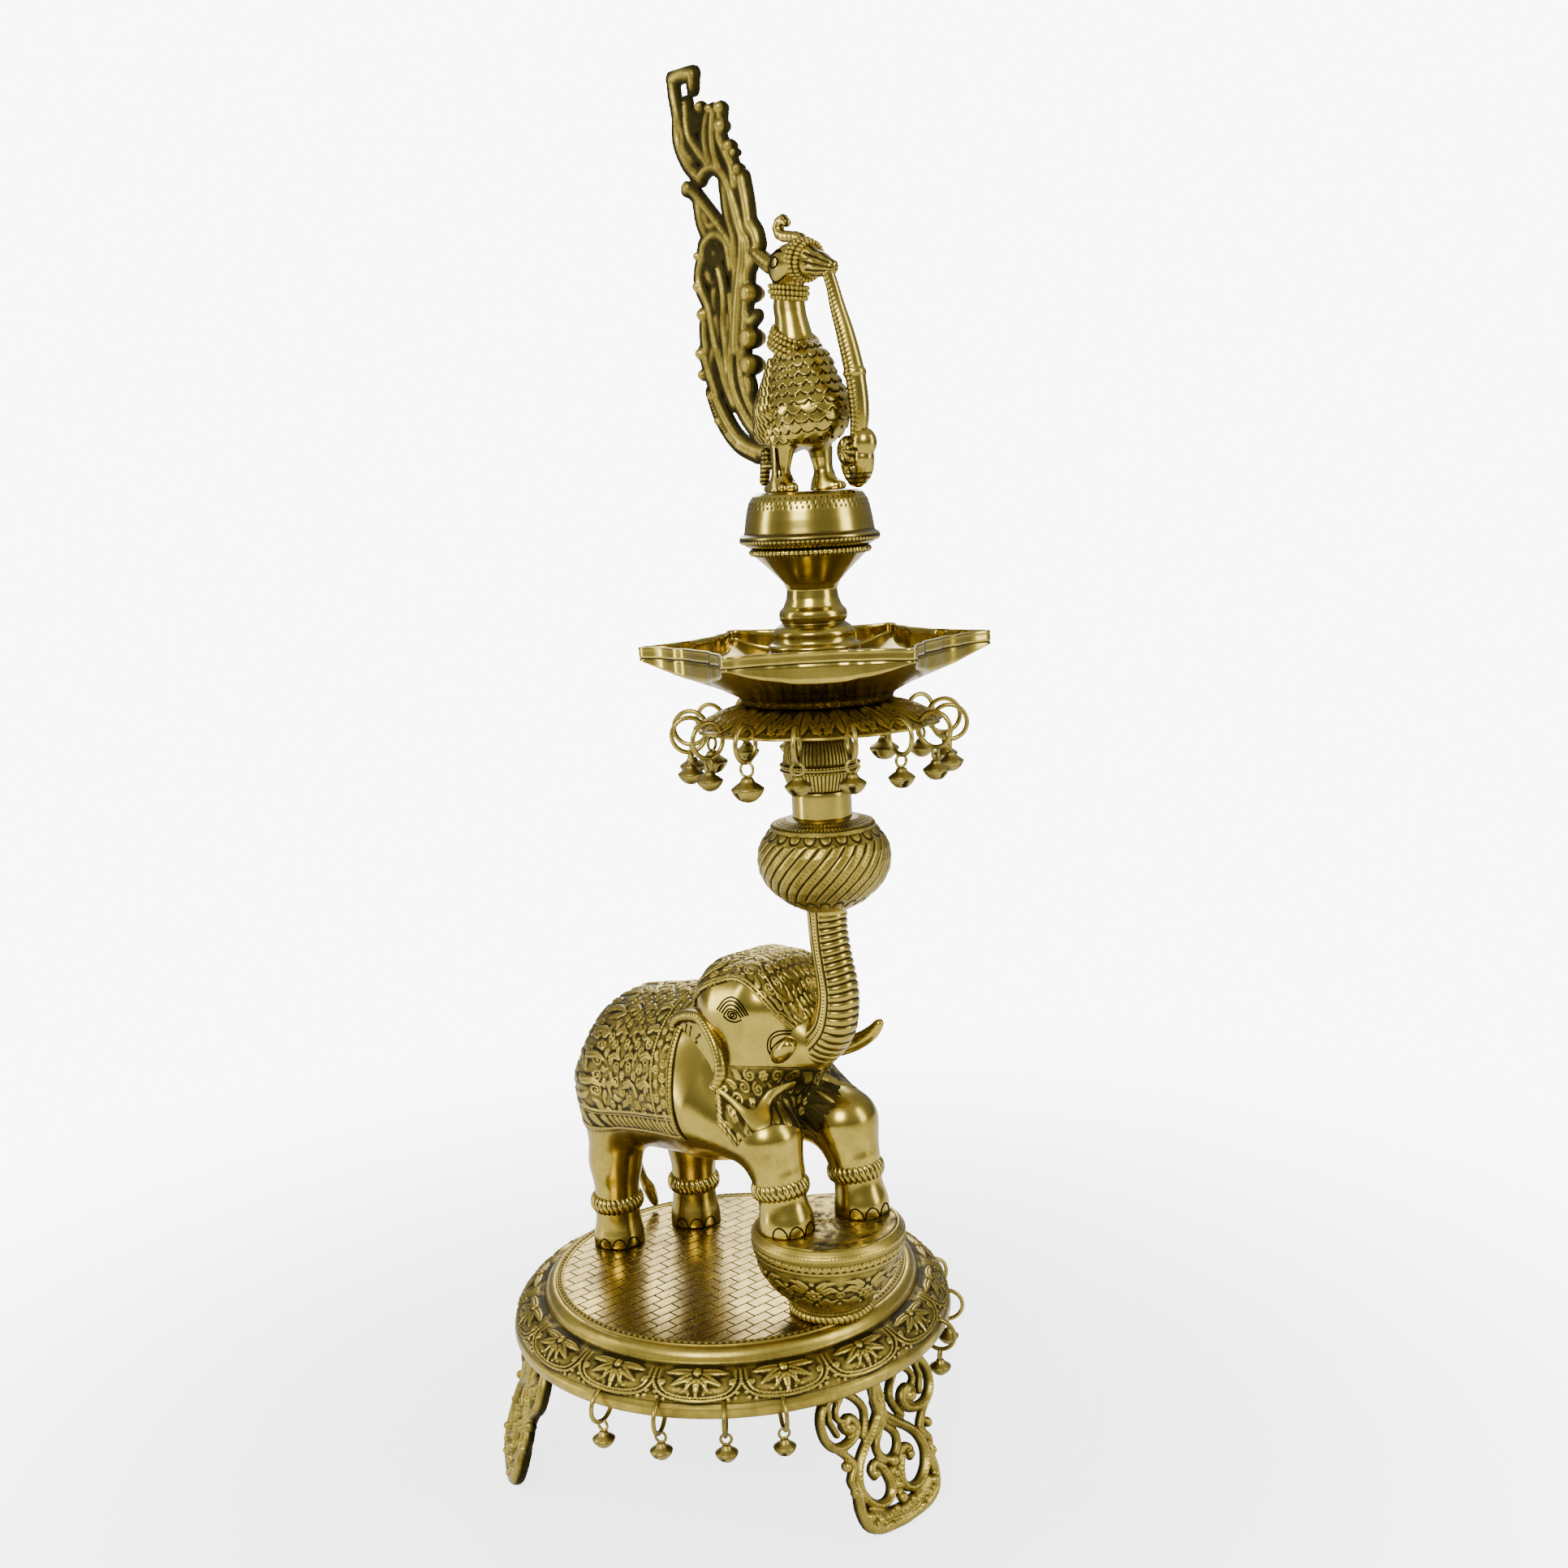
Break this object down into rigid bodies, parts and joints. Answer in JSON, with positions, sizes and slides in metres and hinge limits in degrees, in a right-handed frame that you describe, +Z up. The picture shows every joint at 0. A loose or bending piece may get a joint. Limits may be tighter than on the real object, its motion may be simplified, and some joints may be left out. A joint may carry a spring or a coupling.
{
  "type": "standing oil lamp",
  "caption": "Standing brass oil lamp: elephant on a round three-legged base, melon bulb, umbrella with hanging bells, spouted oil dish and peacock finial.",
  "frame": {"origin": "on the floor under the centre of the round base", "axes": "+Z up; the elephant faces +X; +Y is the elephant's left"},
  "size_m": [0.2771, 0.2372, 0.671],
  "materials": {
    "turned_brass": "antiqued cast and turned brass, dark patina in the engraving",
    "figure_brass": "polished cast brass with engraved and dark-filled lines",
    "cast_brass": "rough openwork cast brass, dark in the recesses",
    "bell_brass": "dull sheet brass",
    "ring_brass": "drawn brass wire",
    "steel": "plain steel screws and rod, hidden"
  },
  "bodies": {
    "stand": {"base_skirt": "turned_brass", "floor_disc": "turned_brass", "leg_front": "cast_brass", "leg_rear_left": "cast_brass", "leg_rear_right": "cast_brass", "leg_screws": "steel", "base_bell_rings": "ring_brass", "pot": "turned_brass", "pot_lid": "turned_brass", "elephant_body": "figure_brass", "trunk": "figure_brass", "tusk_left": "figure_brass", "tusk_right": "figure_brass", "elephant_tail": "figure_brass", "foot_screws": "steel", "tie_rod": "steel", "rod_nut": "steel", "melon_bulb": "turned_brass", "neck_sleeve": "turned_brass", "gadroon_knob": "turned_brass"},
    "umbrella": {"bell_umbrella": "turned_brass", "umbrella_bell_rings": "ring_brass"},
    "dish": {"lamp_dish": "turned_brass"},
    "finial": {"stem_cup": "turned_brass", "peacock_dome": "turned_brass", "peacock_body": "figure_brass", "peacock_tail": "cast_brass", "beak_garland": "figure_brass", "peacock_screws": "steel"},
    "rim_bell_01": {"rim_bell_01": "bell_brass"},
    "rim_bell_02": {"rim_bell_02": "bell_brass"},
    "rim_bell_03": {"rim_bell_03": "bell_brass"},
    "rim_bell_04": {"rim_bell_04": "bell_brass"},
    "rim_bell_05": {"rim_bell_05": "bell_brass"},
    "rim_bell_06": {"rim_bell_06": "bell_brass"},
    "rim_bell_07": {"rim_bell_07": "bell_brass"},
    "rim_bell_08": {"rim_bell_08": "bell_brass"},
    "rim_bell_09": {"rim_bell_09": "bell_brass"},
    "rim_bell_10": {"rim_bell_10": "bell_brass"},
    "rim_bell_11": {"rim_bell_11": "bell_brass"},
    "rim_bell_12": {"rim_bell_12": "bell_brass"},
    "umbrella_bell_01": {"umbrella_bell_01": "bell_brass"},
    "umbrella_bell_02": {"umbrella_bell_02": "bell_brass"},
    "umbrella_bell_03": {"umbrella_bell_03": "bell_brass"},
    "umbrella_bell_04": {"umbrella_bell_04": "bell_brass"},
    "umbrella_bell_05": {"umbrella_bell_05": "bell_brass"},
    "umbrella_bell_06": {"umbrella_bell_06": "bell_brass"},
    "umbrella_bell_07": {"umbrella_bell_07": "bell_brass"},
    "umbrella_bell_08": {"umbrella_bell_08": "bell_brass"},
    "umbrella_bell_09": {"umbrella_bell_09": "bell_brass"},
    "umbrella_bell_10": {"umbrella_bell_10": "bell_brass"},
    "umbrella_bell_11": {"umbrella_bell_11": "bell_brass"},
    "umbrella_bell_12": {"umbrella_bell_12": "bell_brass"},
    "umbrella_bell_13": {"umbrella_bell_13": "bell_brass"},
    "umbrella_bell_14": {"umbrella_bell_14": "bell_brass"},
    "umbrella_bell_15": {"umbrella_bell_15": "bell_brass"},
    "umbrella_bell_16": {"umbrella_bell_16": "bell_brass"}
  },
  "joints": [
    {"name": "umbrella_turn", "type": "hinge", "parent": "stand", "child": "umbrella", "pos_m": [0.083, 0, 0.385], "axis": [0, 0, 1], "continuous": true},
    {"name": "dish_turn", "type": "hinge", "parent": "stand", "child": "dish", "pos_m": [0.083, 0, 0.4], "axis": [0, 0, 1], "continuous": true},
    {"name": "finial_turn", "type": "hinge", "parent": "stand", "child": "finial", "pos_m": [0.083, 0, 0.44], "axis": [0, 0, 1], "continuous": true},
    {"name": "rim_bell_01_swing", "type": "hinge", "parent": "stand", "child": "rim_bell_01", "pos_m": [0.02821, -0.10529, 0.0618], "axis": [0.2588, -0.9659, 0], "range_deg": [-50, 50]},
    {"name": "rim_bell_02_swing", "type": "hinge", "parent": "stand", "child": "rim_bell_02", "pos_m": [0.05614, -0.09343, 0.0618], "axis": [0.515, -0.8572, 0], "range_deg": [-50, 50]},
    {"name": "rim_bell_03_swing", "type": "hinge", "parent": "stand", "child": "rim_bell_03", "pos_m": [0.07972, -0.07434, 0.0618], "axis": [0.7314, -0.682, 0], "range_deg": [-50, 50]},
    {"name": "rim_bell_04_swing", "type": "hinge", "parent": "stand", "child": "rim_bell_04", "pos_m": [0.09533, -0.05284, 0.0618], "axis": [0.8746, -0.4848, 0], "range_deg": [-50, 50]},
    {"name": "rim_bell_05_swing", "type": "hinge", "parent": "stand", "child": "rim_bell_05", "pos_m": [0.09712, 0.04949, 0.0618], "axis": [0.891, 0.454, 0], "range_deg": [-50, 50]},
    {"name": "rim_bell_06_swing", "type": "hinge", "parent": "stand", "child": "rim_bell_06", "pos_m": [0.07841, 0.07572, 0.0618], "axis": [0.7193, 0.6947, 0], "range_deg": [-50, 50]},
    {"name": "rim_bell_07_swing", "type": "hinge", "parent": "stand", "child": "rim_bell_07", "pos_m": [0.04778, 0.09797, 0.0618], "axis": [0.4384, 0.8988, 0], "range_deg": [-50, 50]},
    {"name": "rim_bell_08_swing", "type": "hinge", "parent": "stand", "child": "rim_bell_08", "pos_m": [0.01517, 0.10794, 0.0618], "axis": [0.1392, 0.9903, 0], "range_deg": [-50, 50]},
    {"name": "rim_bell_09_swing", "type": "hinge", "parent": "stand", "child": "rim_bell_09", "pos_m": [-0.09958, 0.04433, 0.0618], "axis": [-0.9135, 0.4067, 0], "range_deg": [-50, 50]},
    {"name": "rim_bell_10_swing", "type": "hinge", "parent": "stand", "child": "rim_bell_10", "pos_m": [-0.10794, 0.01517, 0.0618], "axis": [-0.9903, 0.1392, 0], "range_deg": [-50, 50]},
    {"name": "rim_bell_11_swing", "type": "hinge", "parent": "stand", "child": "rim_bell_11", "pos_m": [-0.10794, -0.01517, 0.0618], "axis": [-0.9903, -0.1392, 0], "range_deg": [-50, 50]},
    {"name": "rim_bell_12_swing", "type": "hinge", "parent": "stand", "child": "rim_bell_12", "pos_m": [-0.09958, -0.04433, 0.0618], "axis": [-0.9135, -0.4067, 0], "range_deg": [-50, 50]},
    {"name": "umbrella_bell_01_swing", "type": "hinge", "parent": "umbrella", "child": "umbrella_bell_01", "pos_m": [0.13999, 0.01527, 0.3693], "axis": [0.9659, 0.2588, 0], "range_deg": [-50, 50]},
    {"name": "umbrella_bell_02_swing", "type": "hinge", "parent": "umbrella", "child": "umbrella_bell_02", "pos_m": [0.12981, 0.03592, 0.3693], "axis": [0.7934, 0.6088, 0], "range_deg": [-50, 50]},
    {"name": "umbrella_bell_03_swing", "type": "hinge", "parent": "umbrella", "child": "umbrella_bell_03", "pos_m": [0.1125, 0.0511, 0.3693], "axis": [0.5, 0.866, 0], "range_deg": [-50, 50]},
    {"name": "umbrella_bell_04_swing", "type": "hinge", "parent": "umbrella", "child": "umbrella_bell_04", "pos_m": [0.0907, 0.05849, 0.3693], "axis": [0.1305, 0.9914, 0], "range_deg": [-50, 50]},
    {"name": "umbrella_bell_05_swing", "type": "hinge", "parent": "umbrella", "child": "umbrella_bell_05", "pos_m": [0.06773, 0.05699, 0.3693], "axis": [-0.2588, 0.9659, 0], "range_deg": [-50, 50]},
    {"name": "umbrella_bell_06_swing", "type": "hinge", "parent": "umbrella", "child": "umbrella_bell_06", "pos_m": [0.04708, 0.04681, 0.3693], "axis": [-0.6088, 0.7934, 0], "range_deg": [-50, 50]},
    {"name": "umbrella_bell_07_swing", "type": "hinge", "parent": "umbrella", "child": "umbrella_bell_07", "pos_m": [0.03191, 0.0295, 0.3693], "axis": [-0.866, 0.5, 0], "range_deg": [-50, 50]},
    {"name": "umbrella_bell_08_swing", "type": "hinge", "parent": "umbrella", "child": "umbrella_bell_08", "pos_m": [0.0245, 0.0077, 0.3693], "axis": [-0.9914, 0.1305, 0], "range_deg": [-50, 50]},
    {"name": "umbrella_bell_09_swing", "type": "hinge", "parent": "umbrella", "child": "umbrella_bell_09", "pos_m": [0.02601, -0.01527, 0.3693], "axis": [-0.9659, -0.2588, 0], "range_deg": [-50, 50]},
    {"name": "umbrella_bell_10_swing", "type": "hinge", "parent": "umbrella", "child": "umbrella_bell_10", "pos_m": [0.03619, -0.03592, 0.3693], "axis": [-0.7934, -0.6088, 0], "range_deg": [-50, 50]},
    {"name": "umbrella_bell_11_swing", "type": "hinge", "parent": "umbrella", "child": "umbrella_bell_11", "pos_m": [0.0535, -0.0511, 0.3693], "axis": [-0.5, -0.866, 0], "range_deg": [-50, 50]},
    {"name": "umbrella_bell_12_swing", "type": "hinge", "parent": "umbrella", "child": "umbrella_bell_12", "pos_m": [0.0753, -0.05849, 0.3693], "axis": [-0.1305, -0.9914, 0], "range_deg": [-50, 50]},
    {"name": "umbrella_bell_13_swing", "type": "hinge", "parent": "umbrella", "child": "umbrella_bell_13", "pos_m": [0.09827, -0.05699, 0.3693], "axis": [0.2588, -0.9659, 0], "range_deg": [-50, 50]},
    {"name": "umbrella_bell_14_swing", "type": "hinge", "parent": "umbrella", "child": "umbrella_bell_14", "pos_m": [0.11892, -0.04681, 0.3693], "axis": [0.6088, -0.7934, 0], "range_deg": [-50, 50]},
    {"name": "umbrella_bell_15_swing", "type": "hinge", "parent": "umbrella", "child": "umbrella_bell_15", "pos_m": [0.13409, -0.0295, 0.3693], "axis": [0.866, -0.5, 0], "range_deg": [-50, 50]},
    {"name": "umbrella_bell_16_swing", "type": "hinge", "parent": "umbrella", "child": "umbrella_bell_16", "pos_m": [0.1415, -0.0077, 0.3693], "axis": [0.9914, -0.1305, 0], "range_deg": [-50, 50]}
  ]
}
